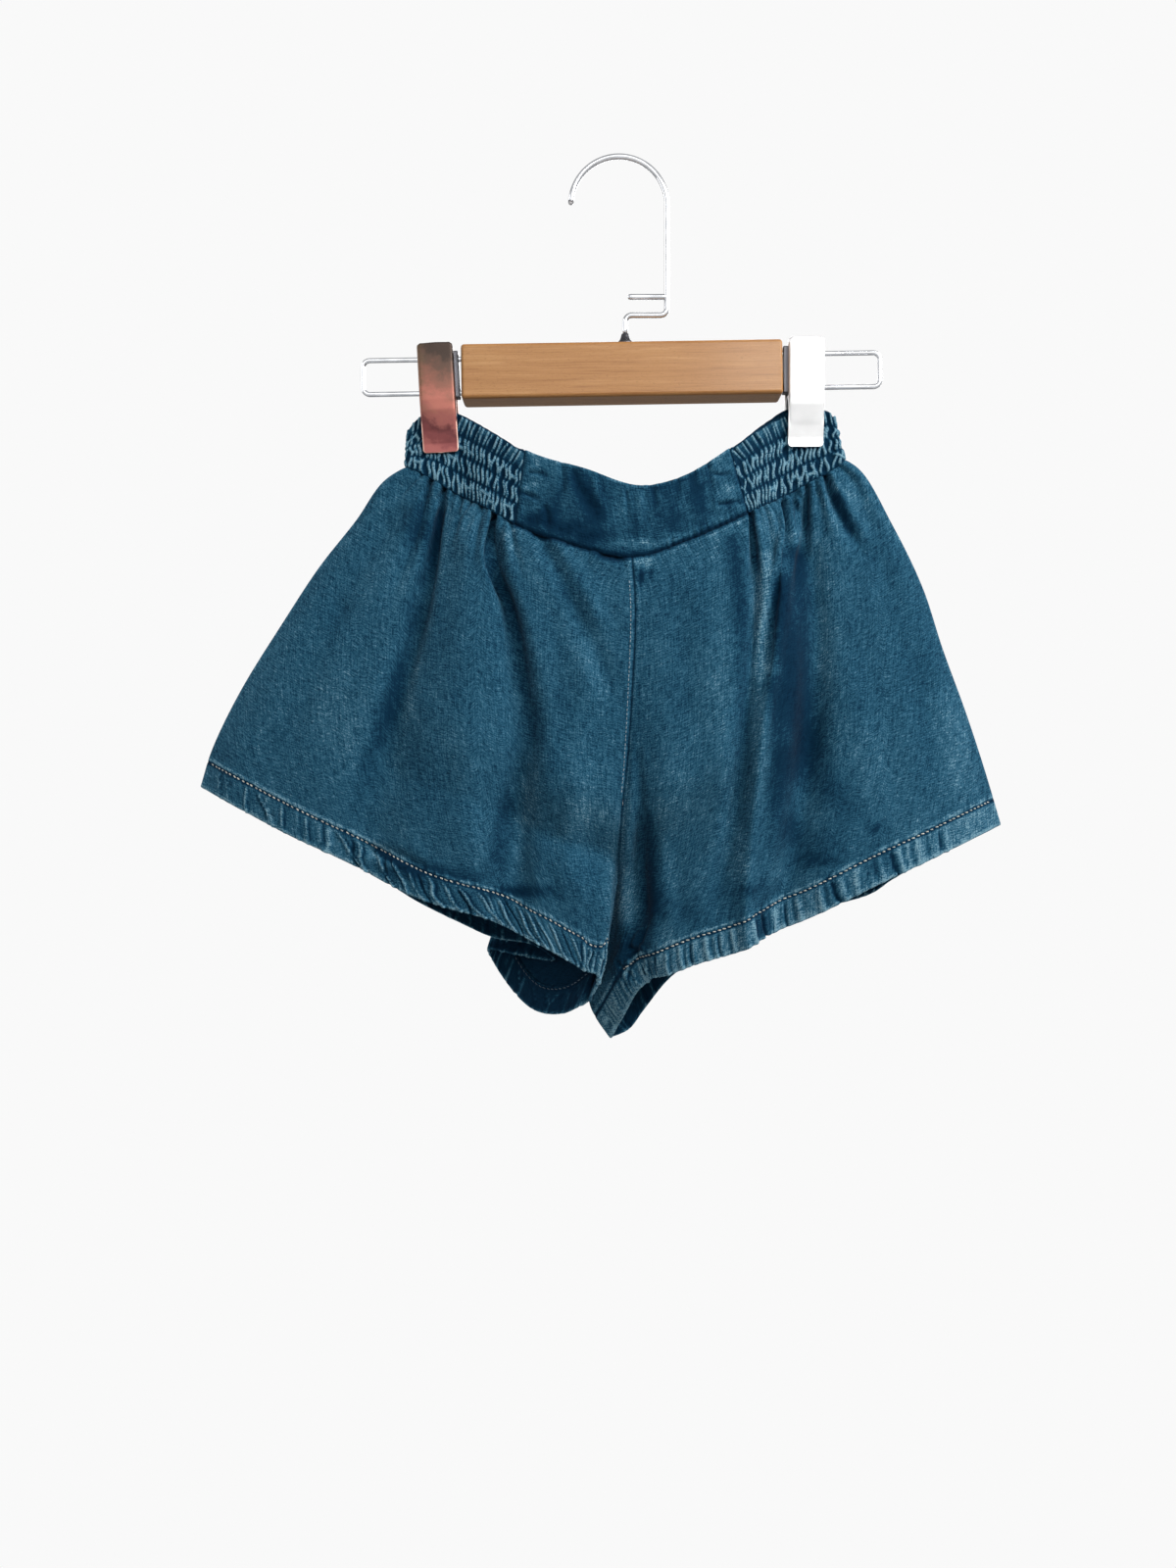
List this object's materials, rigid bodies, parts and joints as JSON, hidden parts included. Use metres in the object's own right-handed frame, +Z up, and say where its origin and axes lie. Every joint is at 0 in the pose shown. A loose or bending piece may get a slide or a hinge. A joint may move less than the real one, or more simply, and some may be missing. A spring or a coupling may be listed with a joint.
{
  "type": "chambray shorts on a clip hanger",
  "caption": "Flared chambray shorts with a smocked elastic waist and a V-shaped front yoke, held by the waist on a wooden-bar clip hanger with a wire hook.",
  "frame": {"origin": "inner top of the hook's crook, where it rests on a rail or peg", "axes": "+X to the viewer's right as seen from the front (the wearer's left), +Y from the front of the shorts to their back, +Z up"},
  "size_m": [0.4644, 0.0689, 0.5155],
  "materials": {
    "chambray": "plain-woven indigo cotton chambray, washed, with pale wear on its ridges and seams",
    "beech": "satin-lacquered beech with fine straight grain",
    "plated_steel": "bright nickel-chrome plate",
    "copper_plate": "bright copper-coloured plate",
    "dark_steel": "dark burnished steel"
  },
  "bodies": {
    "root": {"front_leg_left": "chambray", "front_leg_right": "chambray", "back_leg_left": "chambray", "back_leg_right": "chambray", "front_hem_left": "chambray", "front_hem_right": "chambray", "back_hem_left": "chambray", "back_hem_right": "chambray", "front_yoke": "chambray", "elastic_waistband": "chambray", "hanger_bar": "beech", "hook_wire": "plated_steel", "hook_collar": "dark_steel", "end_loop_left": "plated_steel", "end_loop_right": "plated_steel", "clip_left_slider": "copper_plate", "clip_left_front": "copper_plate", "clip_left_back": "copper_plate", "clip_right_slider": "plated_steel", "clip_right_front": "plated_steel", "clip_right_back": "plated_steel"}
  },
  "joints": []
}
